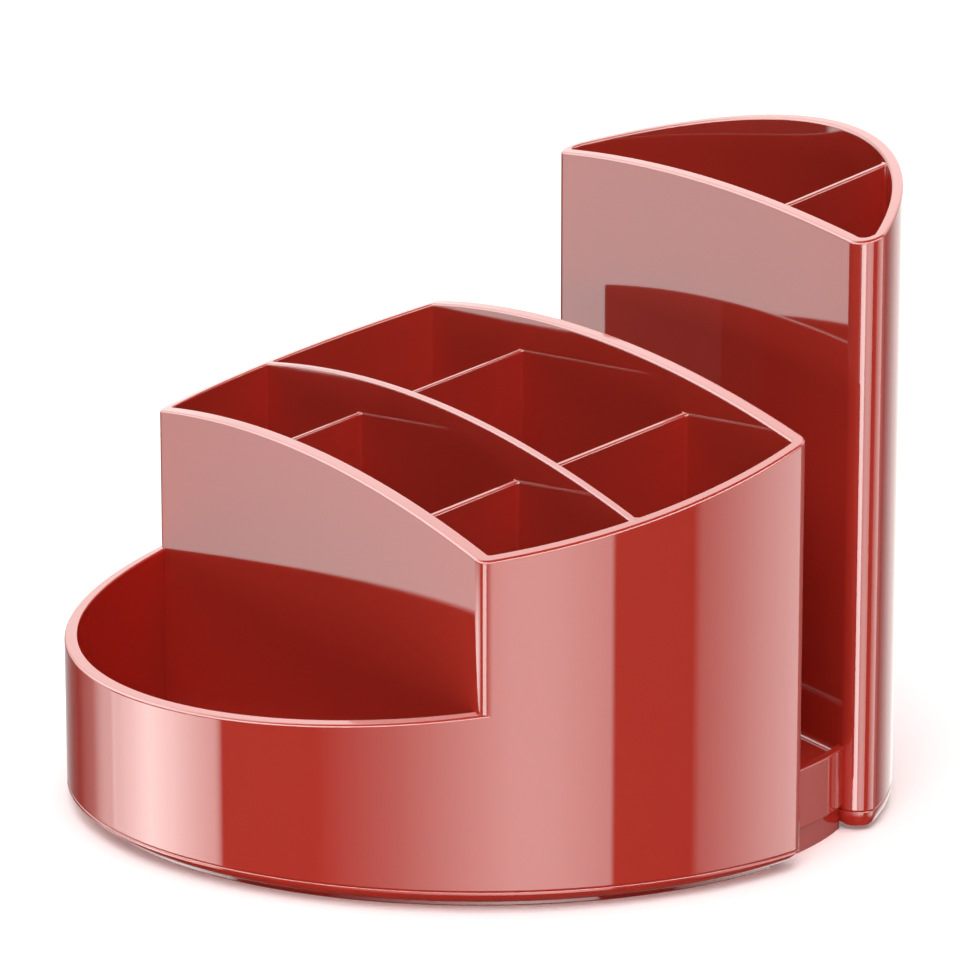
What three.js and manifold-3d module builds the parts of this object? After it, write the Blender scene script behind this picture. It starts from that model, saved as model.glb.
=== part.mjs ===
// Round desk organizer: front tray, six-compartment block, letter slot and tall pen cup.
// Millimetres, +Z up, +Y from the tray towards the tall cup, origin at the bottom centre.
import * as THREE from "three";
import { mergeVertices } from "three/addons/utils/BufferGeometryUtils.js";
import Module from "manifold-3d";

// ---------- driving dimensions ----------
const diameter = 140;
const totalHeight = 109.5; // at the very back of the cup
const wall = 2.2; // outer, front and rear walls of the body
const cupWall = 1.9;
const dividerWall = 1.2;
const fit = 0.1; // gap between a divider or inner wall and the walls beside it

// Depths along y, from the back of the cup to the tray, which takes what is left.
const cupDepth = 28.14; // outside
const slotWidth = 16.66;
const rearRow = 30; // inside depth of the rear compartments
const frontRow = 21.35; // inside depth of the front compartments
const middleWidth = 57.28; // inside width of the two middle compartments
const cupDividerX = 25;

// Rims: height of each at the middle of its starting line, slope towards the back,
// and radius of the crown from side to side.
const trayHeight = 27.45; // at the very front of the tray
const traySlope = 0.19;
const trayCrown = 750;
const blockHeight = 61.4; // at the front wall
const blockSlope = 0.26;
const blockCrown = 412;
const cupSlope = 0.287;
const cupCrown = 500;
const dividerDrop = 6; // short divider tops below the block rim
const cupDividerDrop = 0.5;

// Floor plates and their feet.
const floorTop = 3.5; // top of both floor plates, where the walls stand
const footHeight = 0.7;
const edgeBand = 0.3; // upright edge of a floor plate above its bevel
const bodyBevel = 3.8; // how far the foot of the body stands in from its wall
const cupBevel = 1.2;
const footStep = 0.15; // the foot stands in a little more than the bevel's lower edge
const cupFootStep = 2.8; // the cup's foot is out of sight behind its bevel
const footRing = 5;
const footRecess = 1.2;
const bodyCorner = 3; // vertical corner roundings
const cupCorner = 3.3;
const plateCorner = 5; // corners of the body's floor plate
const leastCorner = 1; // corners of the feet and their recesses

// Bridge under the letter slot.
const curbInset = 4.9; // curbs inside the round outline
const curbWall = 1.6;
const curbTop = 14.4;
const curbFoot = 0.8; // the curb's foot stands in by this much
const curbBandTop = 4.3;
const deckTop = 13;
const deckThickness = 2;

// ---------- derived places ----------
const radius = diameter / 2;
const inner = radius - wall; // inside of the body's round wall
const cupInner = radius - cupWall;
const cupFaceY = radius - cupDepth; // slot side of the cup
const rearFaceY = cupFaceY - slotWidth; // slot side of the rear wall
const middleBackY = rearFaceY - wall - rearRow;
const middleFrontY = middleBackY - dividerWall;
const frontFaceY = middleFrontY - frontRow - wall; // tray side of the front wall
const dividerX = (middleWidth + dividerWall) / 2; // centres of the short dividers
const curbRadius = radius - curbInset;

// A rim passes through z = height at x = 0, y = from.
const trayRim = { from: -radius, height: trayHeight, slope: traySlope, crown: trayCrown };
const blockRim = { from: frontFaceY, height: blockHeight, slope: blockSlope, crown: blockCrown };
const cupRim = { from: radius, height: totalHeight, slope: cupSlope, crown: cupCrown };

// ---------- fineness ----------
const arcStep = 2.6; // longest facet of a large round wall
const arcTurn = THREE.MathUtils.degToRad(15); // widest facet of a small rounding
const crownSteps = 48; // facets across a crowned rim
const spare = 5; // how far cutting shapes run past what they cut
const red = { color: 0xb3271e, roughness: 0.12, metalness: 0 };
const innerRed = { color: 0xa3221b, roughness: 0.16, metalness: 0 };

const wasm = await Module();
wasm.setup();

// ---------- helpers ----------
// A three.js geometry as a manifold-3d solid.
function solid(geometry) {
  const flat = geometry.index ? geometry.toNonIndexed() : geometry;
  const bare = new THREE.BufferGeometry();
  bare.setAttribute("position", flat.getAttribute("position"));
  const merged = mergeVertices(bare, 1e-4);
  const mesh = new wasm.Mesh({
    numProp: 3,
    vertProperties: new Float32Array(merged.attributes.position.array),
    triVerts: new Uint32Array(merged.index.array),
  });
  return new wasm.Manifold(mesh);
}

// A manifold-3d solid as a named mesh.
function part(name, body, look) {
  const mesh = body.getMesh();
  const positions = new Float32Array(mesh.numVert * 3);
  for (let i = 0; i < mesh.numVert; i++) {
    const start = i * mesh.numProp;
    positions.set(mesh.vertProperties.subarray(start, start + 3), i * 3);
  }
  const geometry = new THREE.BufferGeometry();
  geometry.setAttribute("position", new THREE.BufferAttribute(positions, 3));
  geometry.setIndex(new THREE.BufferAttribute(new Uint32Array(mesh.triVerts), 1));
  geometry.computeVertexNormals();
  const made = new THREE.Mesh(geometry, new THREE.MeshStandardMaterial(look));
  made.name = name;
  return made;
}

// Points along an arc, without its last point.
function arc(cx, cy, r, from, to) {
  const byLength = Math.ceil((Math.abs(to - from) * r) / arcStep);
  const byAngle = Math.ceil(Math.abs(to - from) / arcTurn);
  const count = Math.max(2, byLength, byAngle);
  return Array.from({ length: count }, (_, i) => {
    const angle = from + ((to - from) * i) / count;
    return new THREE.Vector2(cx + r * Math.cos(angle), cy + r * Math.sin(angle));
  });
}

// A disc cut by a straight front (y = front) and, if given, a straight back,
// with rounded corners; counter-clockwise.
function cutDisc(r, front, back, corner) {
  const frontY = front + corner;
  const frontX = Math.sqrt((r - corner) ** 2 - frontY ** 2);
  const frontAngle = Math.atan2(frontY, frontX);
  const half = Math.PI / 2;
  const points = [...arc(frontX, frontY, corner, -half, frontAngle)];
  if (back === null) {
    points.push(...arc(0, 0, r, frontAngle, Math.PI - frontAngle));
  } else {
    const backY = back - corner;
    const backX = Math.sqrt((r - corner) ** 2 - backY ** 2);
    const backAngle = Math.atan2(backY, backX);
    points.push(...arc(0, 0, r, frontAngle, backAngle));
    points.push(...arc(backX, backY, corner, backAngle, half));
    points.push(...arc(-backX, backY, corner, half, Math.PI - backAngle));
    points.push(...arc(0, 0, r, Math.PI - backAngle, Math.PI - frontAngle));
  }
  points.push(...arc(-frontX, frontY, corner, Math.PI - frontAngle, Math.PI + half));
  points.push(new THREE.Vector2(-frontX, front));
  return points;
}

// A disc cut only by a straight back, with rounded corners.
function trayDisc(r, back, corner) {
  const backY = back - corner;
  const backX = Math.sqrt((r - corner) ** 2 - backY ** 2);
  const backAngle = Math.atan2(backY, backX);
  const half = Math.PI / 2;
  return [
    ...arc(backX, backY, corner, backAngle, half),
    ...arc(-backX, backY, corner, half, Math.PI - backAngle),
    ...arc(0, 0, r, Math.PI - backAngle, 2 * Math.PI + backAngle),
  ];
}

function prism(points, bottom, top) {
  const options = { depth: top - bottom, bevelEnabled: false };
  const geometry = new THREE.ExtrudeGeometry(new THREE.Shape(points), options);
  return solid(geometry.translate(0, 0, bottom));
}

function disc(r, bottom, top) {
  return prism(arc(0, 0, r, 0, 2 * Math.PI), bottom, top);
}

function block(x0, x1, y0, y1, z0, z1) {
  const geometry = new THREE.BoxGeometry(x1 - x0, y1 - y0, z1 - z0);
  geometry.translate((x0 + x1) / 2, (y0 + y1) / 2, (z0 + z1) / 2);
  return solid(geometry);
}

function rimZ(rim, x, y) {
  return rim.height + rim.slope * (y - rim.from) - x ** 2 / (2 * rim.crown);
}

// Everything under a rim: an arched profile drawn in x and z, swept along y and sheared.
function under(rim) {
  const reach = radius + spare;
  const depth = 2 * totalHeight;
  const shape = new THREE.Shape();
  shape.moveTo(-reach, -depth);
  shape.lineTo(reach, -depth);
  for (let i = 0; i <= crownSteps; i++) {
    const x = reach - (2 * reach * i) / crownSteps;
    shape.lineTo(x, rimZ(rim, x, 0));
  }
  const geometry = new THREE.ExtrudeGeometry(shape, { depth: 2 * reach, bevelEnabled: false });
  geometry.rotateX(Math.PI / 2); // drawn y becomes z, depth runs towards -y
  geometry.translate(0, reach, 0);
  const lean = new THREE.Matrix4();
  lean.set(1, 0, 0, 0, 0, 1, 0, 0, 0, rim.slope, 1, 0, 0, 0, 0, 1);
  return solid(geometry.applyMatrix4(lean));
}

// A floor plate: a low foot, a bevel out to the wall line, and a recess underneath.
function floorPlate(outline, footOutline, ringOutline, bevel) {
  const rise = floorTop - footHeight - edgeBand;
  const geometry = new THREE.ExtrudeGeometry(new THREE.Shape(outline), {
    depth: 2 * edgeBand,
    bevelThickness: rise,
    bevelSize: bevel,
    bevelOffset: -bevel,
    bevelSegments: 1,
  });
  const bevelled = solid(geometry.translate(0, 0, footHeight + rise));
  const reach = radius + spare;
  const slab = block(-reach, reach, -reach, reach, 0, floorTop);
  const foot = prism(footOutline, 0, footHeight + edgeBand);
  return bevelled.intersect(slab).add(foot).subtract(prism(ringOutline, -spare, footRecess));
}

// ---------- body: tray and six-compartment block ----------
function basePlate() {
  const corner = (inset) => Math.max(plateCorner - inset, leastCorner);
  const shape = (inset) => trayDisc(radius - inset, rearFaceY - inset, corner(inset));
  const foot = bodyBevel + footStep;
  return floorPlate(shape(0), shape(foot), shape(foot + footRing), bodyBevel);
}

// Low round the tray, high along both sides of the block, one wall all the way.
function outerWall() {
  const hollow = disc(inner, 0, totalHeight);
  const sideOutline = cutDisc(radius, frontFaceY, rearFaceY, bodyCorner);
  const sides = prism(sideOutline, floorTop, totalHeight).intersect(under(blockRim));
  const trayBack = frontFaceY + bodyCorner + wall / 2;
  const trayBlock = block(-radius, radius, -radius, trayBack, floorTop, totalHeight);
  const tray = disc(radius, floorTop, totalHeight).intersect(trayBlock).intersect(under(trayRim));
  return sides.add(tray).subtract(hollow);
}

// A straight wall across the body, trimmed to the round wall and to the block rim.
function crossWall(y0, y1) {
  const bar = block(-radius, radius, y0, y1, floorTop, totalHeight);
  return bar.intersect(disc(inner - fit, floorTop, totalHeight)).intersect(under(blockRim));
}

// A short front-to-back divider with a sloping top.
function shortDivider(x, y0, y1, rim, drop) {
  const profile = new THREE.Shape();
  profile.moveTo(y0, floorTop);
  profile.lineTo(y1, floorTop);
  profile.lineTo(y1, rimZ(rim, x, y1) - drop);
  profile.lineTo(y0, rimZ(rim, x, y0) - drop);
  const geometry = new THREE.ExtrudeGeometry(profile, { depth: dividerWall, bevelEnabled: false });
  geometry.rotateX(Math.PI / 2).rotateZ(Math.PI / 2);
  return solid(geometry.translate(x - dividerWall / 2, 0, 0));
}

function frontDivider(side) {
  const from = frontFaceY + wall + fit;
  return shortDivider(side * dividerX, from, middleFrontY - fit, blockRim, dividerDrop);
}

function rearDivider(side) {
  const to = rearFaceY - wall - fit;
  return shortDivider(side * dividerX, middleBackY + fit, to, blockRim, dividerDrop);
}

// ---------- letter slot ----------
// A low curb along the round outline, with its foot set back a little.
function curb(side) {
  const upper = disc(curbRadius, curbBandTop, curbTop);
  const lower = disc(curbRadius - curbFoot, 0, curbBandTop);
  const ring = upper.add(lower).subtract(disc(curbRadius - curbWall, -spare, totalHeight));
  const x0 = side > 0 ? 0 : -radius;
  const gap = block(x0, x0 + radius, rearFaceY + fit, cupFaceY - fit, 0, curbTop);
  return ring.intersect(gap);
}

function bridgeDeck() {
  const reach = curbRadius - curbWall - fit;
  const bar = block(-radius, radius, rearFaceY + fit, cupFaceY - fit, deckTop - deckThickness, deckTop);
  return bar.intersect(disc(reach, 0, deckTop));
}

// ---------- tall cup ----------
function cupFloor() {
  const corner = (inset) => Math.max(cupCorner - inset, leastCorner);
  const shape = (inset) => cutDisc(radius - inset, cupFaceY + inset, null, corner(inset));
  const foot = cupBevel + cupFootStep;
  return floorPlate(shape(0), shape(foot), shape(foot + footRing / 2), cupBevel);
}

function cupShell() {
  const over = totalHeight + spare;
  const outside = prism(cutDisc(radius, cupFaceY, null, cupCorner), floorTop, over);
  const hole = cutDisc(cupInner, cupFaceY + cupWall, null, cupCorner - cupWall);
  return outside.subtract(prism(hole, 0, over + spare)).intersect(under(cupRim));
}

function cupDivider() {
  const x = cupDividerX;
  const from = cupFaceY + cupWall + fit;
  const to = Math.sqrt(cupInner ** 2 - (x + dividerWall / 2) ** 2) - fit;
  return shortDivider(x, from, to, cupRim, cupDividerDrop);
}

// ---------- assembly ----------
const organizer = new THREE.Group();
organizer.name = "desk_organizer";
organizer.add(
  part("base_plate", basePlate(), red),
  part("outer_wall", outerWall(), red),
  part("front_wall", crossWall(frontFaceY, frontFaceY + wall), red),
  part("rear_wall", crossWall(rearFaceY - wall, rearFaceY), red),
  part("middle_divider", crossWall(middleFrontY, middleBackY), innerRed),
  part("divider_front_left", frontDivider(-1), innerRed),
  part("divider_front_right", frontDivider(1), innerRed),
  part("divider_rear_left", rearDivider(-1), innerRed),
  part("divider_rear_right", rearDivider(1), innerRed),
  part("bridge_deck", bridgeDeck(), innerRed),
  part("bridge_curb_left", curb(-1), red),
  part("bridge_curb_right", curb(1), red),
  part("cup_floor", cupFloor(), red),
  part("cup_shell", cupShell(), red),
  part("cup_divider", cupDivider(), innerRed),
);
export default organizer;
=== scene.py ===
"""Looks of the round desk organizer: rounded, filleted walls, glossy red plastic and a studio."""

import math
from collections import namedtuple
from itertools import pairwise

import bpy
import numpy as np
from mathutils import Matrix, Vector


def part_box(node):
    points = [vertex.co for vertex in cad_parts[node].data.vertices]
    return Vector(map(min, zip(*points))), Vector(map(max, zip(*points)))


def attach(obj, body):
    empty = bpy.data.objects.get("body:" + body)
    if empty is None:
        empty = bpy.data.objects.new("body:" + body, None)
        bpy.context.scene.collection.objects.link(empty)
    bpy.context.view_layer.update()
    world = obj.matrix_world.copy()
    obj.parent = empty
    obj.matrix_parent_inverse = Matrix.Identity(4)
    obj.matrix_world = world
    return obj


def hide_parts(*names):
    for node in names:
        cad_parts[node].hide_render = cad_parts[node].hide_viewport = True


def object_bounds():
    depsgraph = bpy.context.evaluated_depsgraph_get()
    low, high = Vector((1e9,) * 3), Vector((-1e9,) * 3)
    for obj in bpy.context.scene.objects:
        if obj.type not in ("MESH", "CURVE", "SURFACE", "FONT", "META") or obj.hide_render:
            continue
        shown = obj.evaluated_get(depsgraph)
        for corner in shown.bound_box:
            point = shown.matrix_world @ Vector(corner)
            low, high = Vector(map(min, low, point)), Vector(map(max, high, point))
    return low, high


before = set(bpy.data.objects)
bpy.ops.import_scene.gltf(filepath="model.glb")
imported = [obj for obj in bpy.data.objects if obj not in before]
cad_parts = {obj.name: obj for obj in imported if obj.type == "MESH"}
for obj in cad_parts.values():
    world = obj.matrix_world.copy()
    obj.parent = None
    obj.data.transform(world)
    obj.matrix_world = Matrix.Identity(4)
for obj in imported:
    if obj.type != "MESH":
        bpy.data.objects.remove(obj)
cad_box = [list(corner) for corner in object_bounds()]

MM = 0.001
UP = Vector((0, 0, 1))
HALF_TURN = math.pi
RIGHT_ANGLE = math.pi / 2


# ---------- sizes, read from the frame ----------
def low(node):
    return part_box(node)[0]


def high(node):
    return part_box(node)[1]


def middle_x(node):
    return (low(node).x + high(node).x) / 2


def corners_of(node):
    return np.array([v.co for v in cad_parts[node].data.vertices], float)


radius = min(-cad_box[0][0], -cad_box[0][1], cad_box[1][0], cad_box[1][1])
floor_top = high("base_plate").z
wall = high("front_wall").y - low("front_wall").y
thin_wall = high("middle_divider").y - low("middle_divider").y
inner_radius = radius - wall
front_y = low("front_wall").y
middle_y = (low("middle_divider").y + high("middle_divider").y) / 2
rear_y = high("rear_wall").y
cup_y = low("cup_shell").y
deck_top = high("bridge_deck").z
deck_low = low("bridge_deck").z
curb_radius = np.hypot(*corners_of("bridge_curb_right").T[:2]).max()
curb_top = high("bridge_curb_right").z

# Sizes of the finer shape, which the frame doesn't show.
CUP_WALL = 1.9 * MM
BODY_CORNER = 3 * MM
CUP_CORNER = 3.3 * MM
LEAST_CORNER = 1 * MM
RIM_EDGE = 0.45 * MM  # rounding along the rims of the thick walls
THIN_EDGE = 0.35 * MM  # and along those of the dividers and curbs
MIDDLE_DIVIDER_DROP = 0.05 * MM  # how far a rim lies below the rim of the walls round it
DIVIDER_DROP = 6 * MM
CUP_DIVIDER_DROP = 0.5 * MM
FLOOR_FILLET = 1 * MM
END_FILLET = 0.45 * MM  # where a divider meets a wall
EMBED = 0.25 * MM  # how far a wall runs into the one that it joins
STUB = 0.5 * MM  # straight piece past a corner, where two walls' sweeps meet
GROOVE = 0.25 * MM  # rounding on both sides of the line between wall and floor plate
BODY_BEVEL = 3.8 * MM
BODY_BELLY = 0.35  # how round a floor plate's bevel is: 0 is flat, 1 a quarter ellipse
CUP_BEVEL = 1.2 * MM
CUP_BELLY = 0.8
FOOT_HEIGHT = 0.7 * MM
FOOT_EDGE = 0.2 * MM
FOOT_RECESS = 1.2 * MM
BODY_FOOT_STEP = 0.15 * MM  # how far the foot stands in behind the bevel
BODY_FOOT_RING = 5 * MM
CUP_FOOT_STEP = 2.8 * MM
CUP_FOOT_RING = 2.5 * MM
CURB_WALL = 1.6 * MM
CURB_FOOT = 0.8 * MM  # how far the curb's foot stands in
CURB_BAND = 4.3 * MM  # and how high it is

# How finely the curves are divided.
STEP = 1 * MM  # longest facet along a wall
TURN = math.radians(6)  # widest facet of a corner rounding
QUARTER = [math.radians(a) for a in (0, 15, 30, 45, 60, 75, 90)]
SAME_SPOT = 1e-4 * MM  # stations nearer than this are one
APART = 0.02 * MM  # gap between the bevel's first level and the edge above it
BASE_CORNER_FACETS = 10
BASE_ROUND_FACETS = 240
CUP_CORNER_FACETS = 14
CUP_ROUND_FACETS = 110
STEEPEST = 1e4  # slope that stands for a right angle
RIM_MARGIN = 5 * MM  # how far a rim's points lie above the floor, and the tray's before the block


# ---------- rims ----------
class Rim(namedtuple("Rim", "height slope bend")):
    """A rim that rises towards +y and falls off to both sides."""

    def z(self, x, y):
        return self.height + self.slope * y - self.bend * x * x

    def up(self, x, y):
        return Vector((2 * self.bend * x, -self.slope, 1))


def fitted_rim(*nodes, before=math.inf, drop=0.0):
    """The rim through the top edges of nodes, as far as they lie before this y, set lower."""
    points = np.vstack([corners_of(node) for node in nodes])
    on_rim = (points[:, 2] > floor_top + RIM_MARGIN) & (points[:, 1] < before)
    x, y, z = points[on_rim].T
    terms = np.column_stack([np.ones_like(x), y, -x * x])
    height, slope, bend = np.linalg.lstsq(terms, z, rcond=None)[0]
    return Rim(height - drop, slope, bend)


tray_rim = fitted_rim("outer_wall", before=front_y - RIM_MARGIN)
block_rim = fitted_rim("front_wall", "rear_wall")
middle_rim = fitted_rim("front_wall", "rear_wall", drop=MIDDLE_DIVIDER_DROP)
divider_rim = fitted_rim("front_wall", "rear_wall", drop=DIVIDER_DROP)
cup_rim = fitted_rim("cup_shell")
cup_divider_rim = fitted_rim("cup_shell", drop=CUP_DIVIDER_DROP)
curb_rim = Rim(curb_top, 0, 0)


# ---------- stations along a wall ----------
# A station is a plan point on a wall's centre line, its outward normal, half the wall's
# thickness there, and how fast that half grows along the wall. Stations run the way the
# normal points when it is turned a quarter turn to the left.
Station = namedtuple("Station", "x y nx ny half spread")


def arc(cx, cy, r, start, end, half, count=None):
    """Stations on an arc, in as many facets as it needs or in this count of them."""
    if count is None:
        count = max(2, math.ceil(abs(end - start) * max(r / STEP, 1 / TURN)))
    angles = [start + (end - start) * i / count for i in range(count + 1)]
    return [
        Station(cx + r * math.cos(a), cy + r * math.sin(a), math.cos(a), math.sin(a), half, 0)
        for a in angles
    ]


def between(x0, y0, x1, y1, half, places):
    """Stations on the straight line between two points, at these shares of it."""
    length = math.hypot(x1 - x0, y1 - y0)
    nx, ny = (y1 - y0) / length, (x0 - x1) / length
    return [
        Station(x0 + (x1 - x0) * share, y0 + (y1 - y0) * share, nx, ny, half, 0)
        for share in places
    ]


def straight(x0, y0, x1, y1, half):
    count = max(1, math.ceil(math.hypot(x1 - x0, y1 - y0) / STEP))
    return between(x0, y0, x1, y1, half, [i / count for i in range(count + 1)])


def joined(*rows):
    """Rows of stations in one row, without doubled points."""
    made = []
    for station in (s for row in rows for s in row):
        if not made or math.hypot(station.x - made[-1].x, station.y - made[-1].y) > SAME_SPOT:
            made.append(station)
    return made


def mirrored(row):
    """The same stations on the other side of x = 0, still running the same way round."""
    return [Station(-s.x, s.y, -s.nx, s.ny, s.half, -s.spread) for s in reversed(row)]


def fillet_places(fillet):
    """The distances from a wall, nearest first, where a fillet of this radius has a facet."""
    return [fillet * (1 - math.cos(a)) for a in QUARTER]


def fillet_at(gap, fillet):
    """How far a fillet stands out at this gap from the wall, and its slope as fall and run."""
    fall = max(fillet - gap, 0)
    run = math.sqrt(max(fillet**2 - fall**2, 0))
    return fillet - run, fall, run


def flared(x0, y0, x1, y1, half):
    """A straight row whose thickness flares out where it meets a wall at each end."""
    length = math.hypot(x1 - x0, y1 - y0)
    near = [0.0, *(EMBED + d for d in fillet_places(END_FILLET))]
    inside = np.arange(near[-1] + STEP, length - near[-1] - STEP / 2, STEP)
    places = [*near, *inside, *(length - d for d in reversed(near))]
    row = between(x0, y0, x1, y1, half, [d / length for d in places])
    made = []
    for d, station in zip(places, row):
        gap = max(min(d, length - d) - EMBED, 0)
        grow, fall, run = fillet_at(gap, END_FILLET)
        slope = min(fall / run, STEEPEST) if run > 0 else STEEPEST
        way = -1 if d < length / 2 else 1
        made.append(station._replace(half=half + grow, spread=way * slope))
    return made


# ---------- cross-sections ----------
# A cross-section is a closed ring of spots. u runs along the station's normal, and a spot has
# the surface's normals before and after it, as vectors in space.
Spot = namedtuple("Spot", "u z before after")

# The lower end of a wall's side, as radius and way: a fillet spreads onto a floor, and one
# side of the groove between a wall and its floor plate pulls in.
ONTO_FLOOR = (FLOOR_FILLET, 1)
OVER_PLATE = (GROOVE, -1)


def side_normal(station, side):
    along = Vector((-station.ny, station.nx, 0))
    return (side * Vector((station.nx, station.ny, 0)) - station.spread * along).normalized()


def rounded(station, side, edge, rim, rising):
    """The rounding between a rim and one side of the wall."""
    out = side_normal(station, side)
    spots = []
    for a in QUARTER if rising else reversed(QUARTER):
        u = side * (station.half - edge + edge * math.cos(a))
        x, y = station.x + u * station.nx, station.y + u * station.ny
        normal = (math.cos(a) * out + math.sin(a) * rim.up(x, y)).normalized()
        spots.append(Spot(u, rim.z(x, y) - edge + edge * math.sin(a), normal, normal))
    return spots


def foot(station, side, z, end, rising):
    """The lower end of one side of the wall."""
    size, way = end
    out = side_normal(station, side)
    spots = []
    for a in reversed(QUARTER):
        u = side * (station.half + way * size * (1 - math.cos(a)))
        normal = (math.cos(a) * out + way * math.sin(a) * UP).normalized()
        spots.append(Spot(u, z + size * (1 - math.sin(a)), normal, normal))
    spots[0] = spots[0]._replace(before=-UP)
    if rising:
        return spots
    return [Spot(spot.u, spot.z, spot.after, spot.before) for spot in reversed(spots)]


def wall_section(edge, rim, outside, inside):
    """A function that gives the cross-section, at a station, of a wall on the floor plates."""

    def section(station):
        return [
            *foot(station, 1, floor_top, outside, True),
            *rounded(station, 1, edge, rim, True),
            *rounded(station, -1, edge, rim, False),
            *foot(station, -1, floor_top, inside, False),
        ]

    return section


def curb_section(station):
    """A low curb whose foot stands in on the outside."""
    out = Vector((station.nx, station.ny, 0))
    inset = station.half - CURB_FOOT
    return [
        Spot(inset, 0, -UP, out),
        Spot(inset, CURB_BAND, out, -UP),
        *foot(station, 1, CURB_BAND, OVER_PLATE, True),
        *rounded(station, 1, THIN_EDGE, curb_rim, True),
        *rounded(station, -1, THIN_EDGE, curb_rim, False),
        Spot(-station.half, 0, -out, -UP),
    ]


# ---------- meshes ----------
def build(name, points, faces):
    """A mesh object. A face is a list of (point number, normal) and is turned to fit them."""
    turned = []
    for face in faces:
        spots = [points[i] for i, _ in face]
        area = sum((a.cross(b) for a, b in zip(spots, spots[1:] + spots[:1])), Vector())
        facing = area.dot(sum((n for _, n in face), Vector()))
        turned.append(face if facing >= 0 else face[::-1])
    mesh = bpy.data.meshes.new(name)
    mesh.from_pydata(points, [], [[i for i, _ in face] for face in turned])
    mesh.polygons.foreach_set("use_smooth", [True] * len(turned))
    mesh.normals_split_custom_set([n for face in turned for _, n in face])
    made = bpy.data.objects.new(name, mesh)
    bpy.context.scene.collection.objects.link(made)
    return made


def swept(name, stations, section, closed=False):
    """A closed solid: one cross-section at each station, joined along the row."""
    rings = [section(station) for station in stations]
    size = len(rings[0])
    points, faces = [], []
    for station, ring in zip(stations, rings):
        for spot in ring:
            x, y = station.x + spot.u * station.nx, station.y + spot.u * station.ny
            points.append(Vector((x, y, spot.z)))
    for i in range(len(rings) if closed else len(rings) - 1):
        k = (i + 1) % len(rings)
        for j in range(size):
            m = (j + 1) % size
            face = [
                (i * size + j, rings[i][j].after),
                (k * size + j, rings[k][j].after),
                (k * size + m, rings[k][m].before),
                (i * size + m, rings[i][m].before),
            ]
            faces.append(face)
    if not closed:
        for i, way in ((0, -1), (len(rings) - 1, 1)):
            along = way * Vector((-stations[i].ny, stations[i].nx, 0))
            faces.append([(i * size + j, along) for j in range(size)])
    return build(name, points, faces)


# ---------- walls ----------
Corner = namedtuple("Corner", "x y angle")


def rounded_end(r, y, corner, side):
    """Centre and closing angle of the corner between a circle and a straight line at y.
    side is 1 where the line closes the shape towards +y."""
    cy = y - side * corner
    cx = math.sqrt((r - corner) ** 2 - cy**2)
    return Corner(cx, cy, math.atan2(cy, cx))


def right_side(front, rear, half):
    """The block's right wall with its front and rear corners, from front to rear."""
    corner = BODY_CORNER - half
    return joined(
        straight(front.x - STUB, front_y + half, front.x, front_y + half, half),
        arc(front.x, front.y, corner, -RIGHT_ANGLE, front.angle, half),
        arc(0, 0, radius - half, front.angle, rear.angle, half),
        arc(rear.x, rear.y, corner, rear.angle, RIGHT_ANGLE, half),
        straight(rear.x, rear_y - half, rear.x - STUB, rear_y - half, half),
    )


def body_walls():
    """The thick walls of tray and block, each with the node that it stands for."""
    half = wall / 2
    high_wall = wall_section(RIM_EDGE, block_rim, OVER_PLATE, ONTO_FLOOR)
    cross_wall = wall_section(RIM_EDGE, block_rim, ONTO_FLOOR, ONTO_FLOOR)
    low_wall = wall_section(RIM_EDGE, tray_rim, OVER_PLATE, ONTO_FLOOR)
    front = rounded_end(radius, front_y, BODY_CORNER, -1)
    rear = rounded_end(radius, rear_y, BODY_CORNER, 1)
    side = right_side(front, rear, half)
    tray = arc(0, 0, radius - half, HALF_TURN - front.angle, 2 * HALF_TURN + front.angle, half)
    front_row = straight(STUB - front.x, front_y + half, front.x - STUB, front_y + half, half)
    rear_row = straight(rear.x - STUB, rear_y - half, STUB - rear.x, rear_y - half, half)
    return [
        (swept("side_wall_right", side, high_wall), "outer_wall"),
        (swept("side_wall_left", mirrored(side), high_wall), "outer_wall"),
        (swept("tray_wall", tray, low_wall), "outer_wall"),
        (swept("front_wall_skin", front_row, cross_wall), "front_wall"),
        (swept("rear_wall_skin", rear_row, high_wall), "rear_wall"),
    ]


def cup_shell():
    half = CUP_WALL / 2
    front = rounded_end(radius, cup_y, CUP_CORNER, -1)
    corner = CUP_CORNER - half
    row = joined(
        straight(-front.x, cup_y + half, front.x, cup_y + half, half),
        arc(front.x, front.y, corner, -RIGHT_ANGLE, front.angle, half),
        arc(0, 0, radius - half, front.angle, HALF_TURN - front.angle, half),
        arc(-front.x, front.y, corner, HALF_TURN - front.angle, HALF_TURN + RIGHT_ANGLE, half),
    )
    section = wall_section(RIM_EDGE, cup_rim, OVER_PLATE, ONTO_FLOOR)
    return swept("cup_shell_skin", row[:-1], section, closed=True)


def divider(node, x0, y0, x1, y1, rim):
    """A thin wall between two points, with the node that it stands for."""
    row = flared(x0, y0, x1, y1, thin_wall / 2)
    section = wall_section(THIN_EDGE, rim, ONTO_FLOOR, ONTO_FLOOR)
    return swept(node + "_skin", row, section), node


def dividers():
    half = thin_wall / 2
    reach = math.sqrt(inner_radius**2 - middle_y**2) + EMBED
    made = [divider("middle_divider", -reach, middle_y, reach, middle_y, middle_rim)]
    rows = {"front": (front_y + wall, middle_y - half), "rear": (middle_y + half, rear_y - wall)}
    for place, (y0, y1) in rows.items():
        for side in ("left", "right"):
            node = f"divider_{place}_{side}"
            x = middle_x(node)
            made.append(divider(node, x, y0 - EMBED, x, y1 + EMBED, divider_rim))
    x = middle_x("cup_divider")
    y0 = cup_y + CUP_WALL
    y1 = math.sqrt((radius - CUP_WALL) ** 2 - (x + half) ** 2)
    made.append(divider("cup_divider", x, y0 - EMBED, x, y1 + EMBED, cup_divider_rim))
    return made


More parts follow.
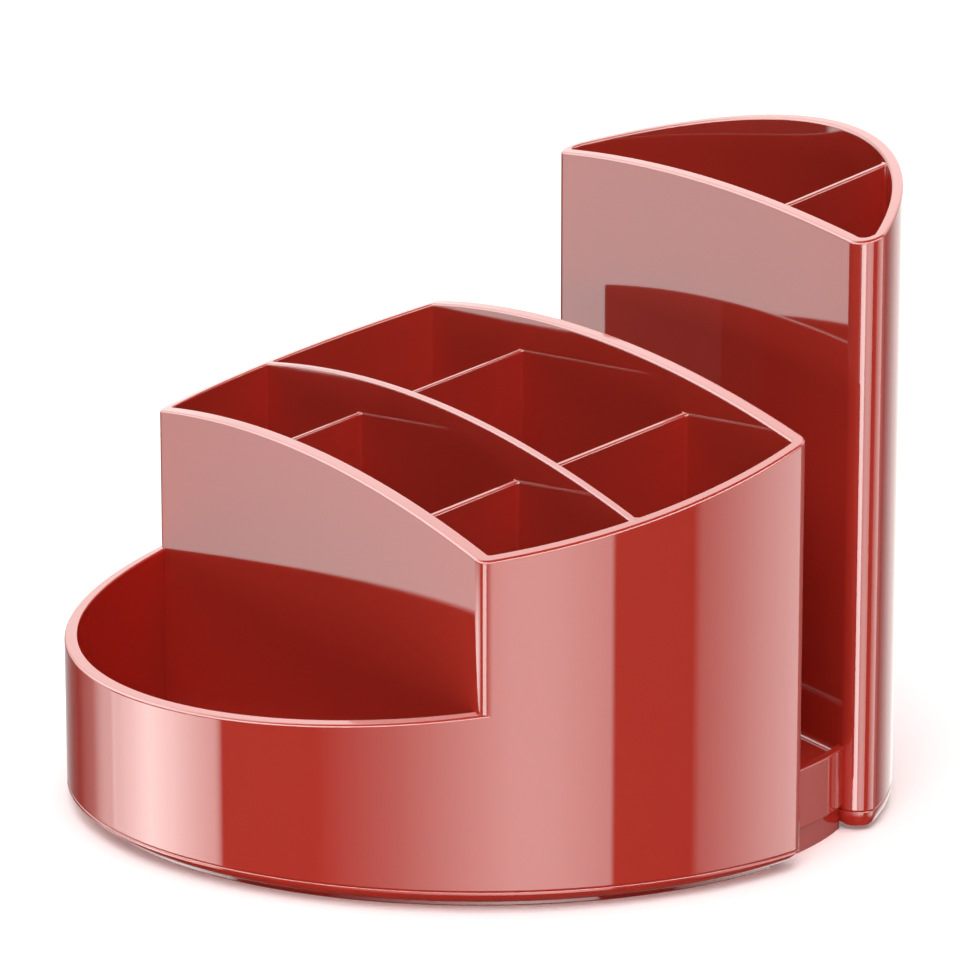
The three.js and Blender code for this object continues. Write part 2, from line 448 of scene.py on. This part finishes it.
def curb(side):
    half = CURB_WALL / 2
    r = curb_radius - half
    row = arc(0, 0, r, math.asin((rear_y - EMBED) / r), math.asin((cup_y + EMBED) / r), half)
    return swept(f"curb_{side}_skin", row if side == "right" else mirrored(row), curb_section)


# ---------- floors ----------
# A level of a floor plate is how far its outline stands in, its height, and the surface's
# normal there, as a share outwards and a share upwards.
Level = namedtuple("Level", "inset z flat rise")


def plate_levels(bevel, belly, step, ring):
    """A floor plate's levels: top edge, bevel, foot and the recess inside the foot ring."""
    levels = []
    for a in reversed(QUARTER):
        inset, sunk = GROOVE * (1 - math.cos(a)), GROOVE * (1 - math.sin(a))
        levels.append(Level(inset, floor_top - sunk, math.cos(a), math.sin(a)))
    edge = floor_top - 2 * GROOVE
    levels.append(Level(0, edge, 1, 0))
    fall = edge - FOOT_HEIGHT
    for a in QUARTER[:-1]:
        share = a / RIGHT_ANGLE
        inset = bevel * (belly * (1 - math.cos(a)) + (1 - belly) * share)
        drop = fall * (belly * math.sin(a) + (1 - belly) * share)
        run = bevel * (belly * math.sin(a) + (1 - belly) / RIGHT_ANGLE)
        sink = fall * (belly * math.cos(a) + (1 - belly) / RIGHT_ANGLE)
        levels.append(Level(inset + APART, edge - drop - APART, sink, -run))
    foot_in = bevel + step
    ring_in = foot_in + ring
    return levels + [
        Level(bevel, FOOT_HEIGHT, 0, -1),
        Level(foot_in, FOOT_HEIGHT, 0, -1),
        Level(foot_in, FOOT_HEIGHT, 1, 0),
        Level(foot_in, FOOT_EDGE, 1, 0),
        Level(foot_in + FOOT_EDGE, 0, 0, -1),
        Level(ring_in, 0, 0, -1),
        Level(ring_in, 0, -1, 0),
        Level(ring_in, FOOT_RECESS, -1, 0),
    ]


def plate(name, outline, levels):
    """A solid that steps through the levels. outline gives its closed row at an inset."""
    rows = [outline(level.inset) for level in levels]
    size = len(rows[0])
    points, starts, normals = [], [], []
    for i, (level, row) in enumerate(zip(levels, rows)):
        if i == 0 or level[:2] != levels[i - 1][:2]:
            points += [Vector((s.x, s.y, level.z)) for s in row]
        starts.append(len(points) - size)
        flat, rise = level.flat, level.rise
        normals.append([Vector((flat * s.nx, flat * s.ny, rise)).normalized() for s in rows[0]])
    faces = []
    for (top, above), (bottom, below) in pairwise(zip(starts, normals)):
        if top == bottom:
            continue
        for i in range(size):
            k = (i + 1) % size
            face = [
                (top + i, above[i]),
                (top + k, above[k]),
                (bottom + k, below[k]),
                (bottom + i, below[i]),
            ]
            faces.append(face)
    faces.append([(starts[0] + i, UP) for i in range(size)])
    faces.append([(starts[-1] + i, -UP) for i in range(size)])
    return build(name, points, faces)


def outline_arc(cx, cy, r, start, end, count):
    """Stations on an arc of an outline, without the last one, which the next arc has."""
    return arc(cx, cy, r, start, end, 0, count)[:-1]


def base_outline(inset):
    """The body's outline, in the same number of stations at each inset."""
    corner = max(BODY_CORNER - inset / 2, LEAST_CORNER)
    x, y, angle = rounded_end(radius - inset, rear_y - inset, corner, 1)
    start, end = HALF_TURN - angle, 2 * HALF_TURN + angle
    return [
        *outline_arc(x, y, corner, angle, RIGHT_ANGLE, BASE_CORNER_FACETS),
        *outline_arc(-x, y, corner, RIGHT_ANGLE, start, BASE_CORNER_FACETS),
        *outline_arc(0, 0, radius - inset, start, end, BASE_ROUND_FACETS),
    ]


def cup_outline(inset):
    """The cup's outline, in the same number of stations at each inset."""
    corner = max(CUP_CORNER - inset, LEAST_CORNER)
    x, y, angle = rounded_end(radius - inset, cup_y + inset, corner, -1)
    end = HALF_TURN - angle
    return [
        *outline_arc(x, y, corner, -RIGHT_ANGLE, angle, CUP_CORNER_FACETS),
        *outline_arc(0, 0, radius - inset, angle, end, CUP_ROUND_FACETS),
        *outline_arc(-x, y, corner, end, HALF_TURN + RIGHT_ANGLE, CUP_CORNER_FACETS),
    ]


def deck():
    """The slot's floor, with a fillet up to the wall on each side."""
    reach = curb_radius - CURB_WALL + EMBED
    near = fillet_places(FLOOR_FILLET)
    places = [rear_y - EMBED, *(rear_y + d for d in near)]
    places += [*(cup_y - d for d in reversed(near)), cup_y + EMBED]
    points, faces, ups = [], [], []
    for y in places:
        grow, fall, run = fillet_at(max(min(y - rear_y, cup_y - y), 0), FLOOR_FILLET)
        way = 1 if y < (rear_y + cup_y) / 2 else -1
        ups.append(Vector((0, way * fall, run)).normalized())
        x = math.sqrt(reach**2 - y**2)
        top = deck_top + grow
        ring = ((-x, deck_low), (x, deck_low), (x, top), (-x, top))
        points += [Vector((px, y, pz)) for px, pz in ring]
    for i, (up, next_up) in enumerate(pairwise(ups)):
        a, b = 4 * i, 4 * (i + 1)
        faces.append([(a, -UP), (a + 1, -UP), (b + 1, -UP), (b, -UP)])
        faces.append([(a + 3, up), (a + 2, up), (b + 2, next_up), (b + 3, next_up)])
        for j, k, way in ((1, 2, 1), (0, 3, -1)):
            out = Vector((way, 0, 0))
            faces.append([(a + j, out), (a + k, out), (b + k, out), (b + j, out)])
    for start, way in ((0, -1), (len(points) - 4, 1)):
        faces.append([(start + j, Vector((0, way, 0))) for j in range(4)])
    return build("bridge_deck_skin", points, faces)


# ---------- materials ----------
def red_plastic(name, colour, deeper, roughness):
    """Polished moulded plastic: faint flow marks in the colour, fine texture in gloss and bump."""
    material = bpy.data.materials.new(name)
    material.use_nodes = True
    nodes, links = material.node_tree.nodes, material.node_tree.links
    shader = nodes["Principled BSDF"]
    shader.inputs["IOR"].default_value = 1.5
    place = nodes.new("ShaderNodeTexCoord")

    def noise(scale, detail, stretch=(1, 1, 1)):
        mapping = nodes.new("ShaderNodeMapping")
        mapping.inputs["Scale"].default_value = stretch
        texture = nodes.new("ShaderNodeTexNoise")
        texture.inputs["Scale"].default_value = scale
        texture.inputs["Detail"].default_value = detail
        links.new(place.outputs["Object"], mapping.inputs["Vector"])
        links.new(mapping.outputs["Vector"], texture.inputs["Vector"])
        return texture.outputs["Fac"]

    def bump(height, strength, distance):
        node = nodes.new("ShaderNodeBump")
        node.inputs["Strength"].default_value = strength
        node.inputs["Distance"].default_value = distance
        links.new(height, node.inputs["Height"])
        return node

    tint = nodes.new("ShaderNodeMix")
    tint.data_type = "RGBA"
    tint.inputs["A"].default_value = (*colour, 1)
    tint.inputs["B"].default_value = (*deeper, 1)
    flow_marks = noise(scale=18, detail=3, stretch=(1, 1, 0.35))
    links.new(flow_marks, tint.inputs["Factor"])
    links.new(tint.outputs["Result"], shader.inputs["Base Color"])

    gloss = nodes.new("ShaderNodeMapRange")
    gloss.inputs["To Min"].default_value = roughness * 0.7
    gloss.inputs["To Max"].default_value = roughness * 1.4
    links.new(noise(scale=140, detail=4), gloss.inputs["Value"])
    links.new(gloss.outputs["Result"], shader.inputs["Roughness"])

    waves = bump(noise(scale=30, detail=1), strength=0.05, distance=0.2 * MM)
    grain = bump(noise(scale=1500, detail=2), strength=0.02, distance=0.02 * MM)
    links.new(waves.outputs["Normal"], grain.inputs["Normal"])
    links.new(grain.outputs["Normal"], shader.inputs["Normal"])
    return material


outer_red = red_plastic(
    "outer_red", colour=(0.41, 0.032, 0.020), deeper=(0.385, 0.029, 0.018), roughness=0.035
)
inner_red = red_plastic(
    "inner_red", colour=(0.40, 0.031, 0.020), deeper=(0.37, 0.028, 0.018), roughness=0.05
)


# ---------- pieces ----------
def finish_piece(piece, node, material):
    piece.data.materials.append(material)
    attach(piece, "root")
    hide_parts(node)


for piece, node in body_walls():
    finish_piece(piece, node, outer_red)
for piece, node in dividers():
    finish_piece(piece, node, inner_red)
body_levels = plate_levels(BODY_BEVEL, BODY_BELLY, BODY_FOOT_STEP, BODY_FOOT_RING)
cup_levels = plate_levels(CUP_BEVEL, CUP_BELLY, CUP_FOOT_STEP, CUP_FOOT_RING)
base_plate = plate("base_plate_skin", base_outline, body_levels)
cup_floor = plate("cup_floor_skin", cup_outline, cup_levels)
finish_piece(cup_shell(), "cup_shell", outer_red)
finish_piece(base_plate, "base_plate", outer_red)
finish_piece(cup_floor, "cup_floor", outer_red)
finish_piece(curb("left"), "bridge_curb_left", outer_red)
finish_piece(curb("right"), "bridge_curb_right", outer_red)
finish_piece(deck(), "bridge_deck", inner_red)

# ---------- studio settings ----------
# Angles here are in degrees, and an azimuth runs from +X towards +Y. The gloss mirrors only
# the softboxes and the strips. Each softbox table gives brightness by azimuth, and the table
# of where it shows gives the share of it by elevation.
BRIGHTEST = 14.0
SOFTBOX_TINT = (1, 0.985, 0.955, 1)
ROUND = [
    (-180, 0.16), (-173, 0.08), (-161, 0.6), (-154, 2.3), (-148, 3.0), (-145, 0.1), (-72, 0.1),
    (-50, 2.0), (-18, 6.6), (-8, 6.6), (8.5, 4.8), (9, 0.1), (33.5, 0.1), (34, 1.6), (56, 4.5),
    (72, 5.8), (80, 1.0), (116, 0.1), (128, 1.1), (142, 1.5), (152, 0.9), (168, 0.5), (180, 0.16),
]
ROUND_SHOWS = [(-90, 0.02), (-34, 0.05), (-24, 1.0), (-4, 1.0), (2, 0.0)]
LOW_BOX = [
    (-149, 0.0), (-145, 4.0), (-138, 6.0), (-129, 9.6), (-120, 9.0), (-103, 5.8), (-102, 0.0),
]
LOW_BOX_SHOWS = [(-34, 0.0), (-24, 1.0), (-14.8, 1.0), (-13.6, 0.0)]
FRONT = [(-178, 0.0), (-160, 4.0), (-110, 13.0), (45, 13.0), (65, 0.0)]
FRONT_SHOWS = [(6, 0.0), (11, 1.0), (38, 1.0), (46, 0.0)]
BACK = [(-180, 8.0), (-150, 8.0), (-125, 0.8), (65, 0.8), (90, 8.0), (180, 8.0)]
BACK_SHOWS = [(-4, 0.0), (3, 0.23), (15, 0.27), (30, 0.44), (54, 0.62), (62, 0.04), (90, 0.03)]
SOFTBOXES = [
    (ROUND, ROUND_SHOWS),
    (LOW_BOX, LOW_BOX_SHOWS),
    (FRONT, FRONT_SHOWS),
    (BACK, BACK_SHOWS),
]

# The room's even light on everything but the gloss, by elevation.
AMBIENT = [(-90, 0.3), (-10, 0.1), (10, 0.1), (35, 0.3), (60, 1.6), (90, 2.5)]
AMBIENT_PEAK = 3

KEY_AZIMUTH, KEY_ELEVATION = -37, 46
KEY_STRENGTH = 1.25
KEY_WIDTH = 32

# The strips stand low, because a camera that looks down sees low things in an upright corner.
STRIP_BRIGHTNESS = 11
STRIP_HEIGHT = 200 * MM
STRIP_Z = -88 * MM

CAMERA_AZIMUTH, CAMERA_ELEVATION = -27.09, 13.03
CAMERA_DISTANCE = 849.2 * MM
CAMERA_TARGET = Vector((1.35, -0.6, 54)) * MM
CAMERA_LENS = 189.9

FLOOR_SIZE = 8.0
FLOOR_DROP = 0.05 * MM  # keeps the floor clear of the foot rings


# ---------- floor, studio and camera ----------
def direction(azimuth, elevation):
    """A vector of length 1 towards these angles in degrees."""
    a, e = math.radians(azimuth), math.radians(elevation)
    return Vector((math.cos(a) * math.cos(e), math.sin(a) * math.cos(e), math.sin(e)))


def placed(name, data):
    """A new object with this data, in the scene."""
    made = bpy.data.objects.new(name, data)
    bpy.context.scene.collection.objects.link(made)
    return made


def make_floor():
    half = FLOOR_SIZE / 2
    mesh = bpy.data.meshes.new("floor")
    corners = [(-half, -half, 0), (half, -half, 0), (half, half, 0), (-half, half, 0)]
    mesh.from_pydata(corners, [], [(0, 1, 2, 3)])
    floor = placed("floor", mesh)
    floor.location.z = -FLOOR_DROP
    material = bpy.data.materials.new("floor_white")
    material.use_nodes = True
    shader = material.node_tree.nodes["Principled BSDF"]
    shader.inputs["Base Color"].default_value = (0.9, 0.9, 0.9, 1)
    shader.inputs["Roughness"].default_value = 0.9
    shader.inputs["Specular IOR Level"].default_value = 0.1
    shader.inputs["Emission Color"].default_value = (1, 1, 1, 1)
    shader.inputs["Emission Strength"].default_value = 0.12
    mesh.materials.append(material)
    floor.visible_glossy = False  # the gloss mirrors the softboxes, which go on below the floor


def ramp(nodes, stops, start, end, peak):
    """A ramp through (place, level), with each level as a share of the peak."""
    node = nodes.new("ShaderNodeValToRGB")
    elements = node.color_ramp.elements
    ends = [elements[0], elements[1]]
    for element, (place, level) in zip(ends, (stops[0], stops[-1])):
        element.position = (place - start) / (end - start)
        element.color = (*[level / peak] * 3, 1)
    for place, level in stops[1:-1]:
        element = elements.new((place - start) / (end - start))
        element.color = (*[level / peak] * 3, 1)
    return node


def make_world():
    """Softboxes that only gloss sees, and even light for everything else."""
    world = bpy.data.worlds.new("studio")
    bpy.context.scene.world = world
    world.use_nodes = True
    nodes, links = world.node_tree.nodes, world.node_tree.links

    def math_node(operation, *values):
        node = nodes.new("ShaderNodeMath")
        node.operation = operation
        for socket, value in zip(node.inputs, values):
            if isinstance(value, (int, float)):
                socket.default_value = value
            else:
                links.new(value, socket)
        return node.outputs["Value"]

    place = nodes.new("ShaderNodeTexCoord")
    split = nodes.new("ShaderNodeSeparateXYZ")
    links.new(place.outputs["Generated"], split.inputs["Vector"])
    azimuth = math_node("ARCTAN2", split.outputs["Y"], split.outputs["X"])
    across = math_node("MULTIPLY_ADD", azimuth, 1 / (2 * math.pi), 0.5)
    elevation = math_node("ARCSINE", split.outputs["Z"])
    upward = math_node("MULTIPLY_ADD", elevation, 1 / math.pi, 0.5)

    def by_azimuth(stops):
        node = ramp(nodes, stops, -180, 180, BRIGHTEST)
        links.new(across, node.inputs["Fac"])
        return node.outputs["Color"]

    def by_elevation(stops, peak=1):
        node = ramp(nodes, stops, -90, 90, peak)
        links.new(upward, node.inputs["Fac"])
        return node.outputs["Color"]

    level = 0
    for boxes, shows in SOFTBOXES:
        level = math_node("MULTIPLY_ADD", by_azimuth(boxes), by_elevation(shows), level)
    softboxes = nodes["Background"]
    softboxes.inputs["Color"].default_value = SOFTBOX_TINT
    links.new(math_node("MULTIPLY", level, BRIGHTEST), softboxes.inputs["Strength"])

    even = nodes.new("ShaderNodeBackground")
    links.new(by_elevation(AMBIENT, AMBIENT_PEAK), even.inputs["Color"])
    even.inputs["Strength"].default_value = AMBIENT_PEAK
    ray = nodes.new("ShaderNodeLightPath")
    mix = nodes.new("ShaderNodeMixShader")
    links.new(ray.outputs["Is Glossy Ray"], mix.inputs["Fac"])
    links.new(even.outputs["Background"], mix.inputs[1])
    links.new(softboxes.outputs["Background"], mix.inputs[2])
    links.new(mix.outputs["Shader"], nodes["World Output"].inputs["Surface"])
    world.cycles.sampling_method = "MANUAL"
    world.cycles.sample_map_resolution = 1024


def make_key():
    """A large soft light from above, a little left of the camera; gloss doesn't mirror it."""
    data = bpy.data.lights.new("key", "SUN")
    data.energy = KEY_STRENGTH
    data.angle = math.radians(KEY_WIDTH)
    key = placed("key", data)
    key.rotation_mode = "QUATERNION"
    key.rotation_quaternion = direction(KEY_AZIMUTH, KEY_ELEVATION).to_track_quat("Z", "Y")
    key.visible_glossy = False


def make_strip(name, receiver, x, y, width):
    """A strip light that faces the object and that only one piece's upright corner mirrors."""
    data = bpy.data.lights.new(name, "AREA")
    data.shape = "RECTANGLE"
    data.size, data.size_y = width, STRIP_HEIGHT
    data.energy = STRIP_BRIGHTNESS * math.pi * data.size * data.size_y
    strip = placed(name, data)
    strip.location = (x, y, STRIP_Z)
    strip.rotation_euler = (RIGHT_ANGLE, 0, math.atan2(y, x) + RIGHT_ANGLE)
    strip.visible_camera = False
    strip.visible_diffuse = False
    lit = bpy.data.collections.new(name + "_lit")
    lit.objects.link(bpy.data.objects[receiver])
    strip.light_linking.receiver_collection = lit


def make_camera():
    back = direction(CAMERA_AZIMUTH, CAMERA_ELEVATION)
    data = bpy.data.cameras.new("camera")
    data.sensor_width = 36
    data.lens = CAMERA_LENS
    data.clip_start, data.clip_end = 0.01, 20
    camera = placed("camera", data)
    camera.location = CAMERA_TARGET + back * CAMERA_DISTANCE
    camera.rotation_mode = "QUATERNION"
    camera.rotation_quaternion = back.to_track_quat("Z", "Y")
    bpy.context.scene.camera = camera


make_floor()
make_world()
make_key()
make_strip("body_strip", "side_wall_right", x=237 * MM, y=-604 * MM, width=240 * MM)
make_strip("cup_strip", "cup_shell_skin", x=479 * MM, y=-381 * MM, width=270 * MM)
make_camera()
bpy.context.scene.view_settings.view_transform = "Standard"
